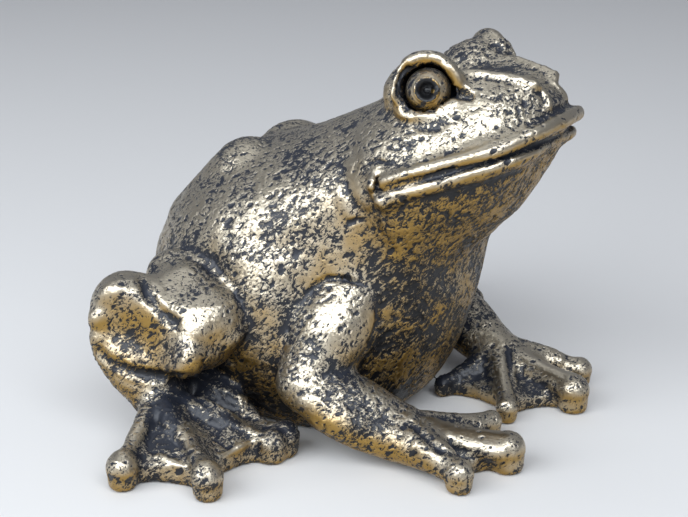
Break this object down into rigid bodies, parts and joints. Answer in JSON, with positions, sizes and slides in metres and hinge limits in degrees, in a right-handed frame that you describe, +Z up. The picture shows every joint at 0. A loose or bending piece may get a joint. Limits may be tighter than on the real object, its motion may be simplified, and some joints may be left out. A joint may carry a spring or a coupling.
{
  "type": "frog figurine",
  "caption": "Seated frog figurine with raised head, wide lipped mouth, hooded eyes, folded hind legs and webbed feet, cast and finished in antique gold; stands on its feet and belly.",
  "frame": {"origin": "on the ground, under the middle of the figure's bounding box", "axes": "+Z up; the frog faces -Y; its left side is +X, and X = 0 is its plane of symmetry"},
  "size_m": [0.1924, 0.1464, 0.1214],
  "materials": {
    "antique_gold": "stone-filled casting resin, brushed with antique gold metallic paint over a blue-black base, dark in the pits and creases and polished bright on the high spots",
    "felt": "dark self-adhesive felt",
    "pin_steel": "plain drawn steel rod"
  },
  "bodies": {
    "root": {"torso": "antique_gold", "head": "antique_gold", "foreleg_left": "antique_gold", "foreleg_right": "antique_gold", "hind_leg_left": "antique_gold", "hind_leg_right": "antique_gold", "hind_foot_left": "antique_gold", "hind_foot_right": "antique_gold", "eye_left": "antique_gold", "eye_right": "antique_gold", "base_plate": "antique_gold", "base_felt": "felt", "joint_pins": "pin_steel"}
  },
  "joints": []
}
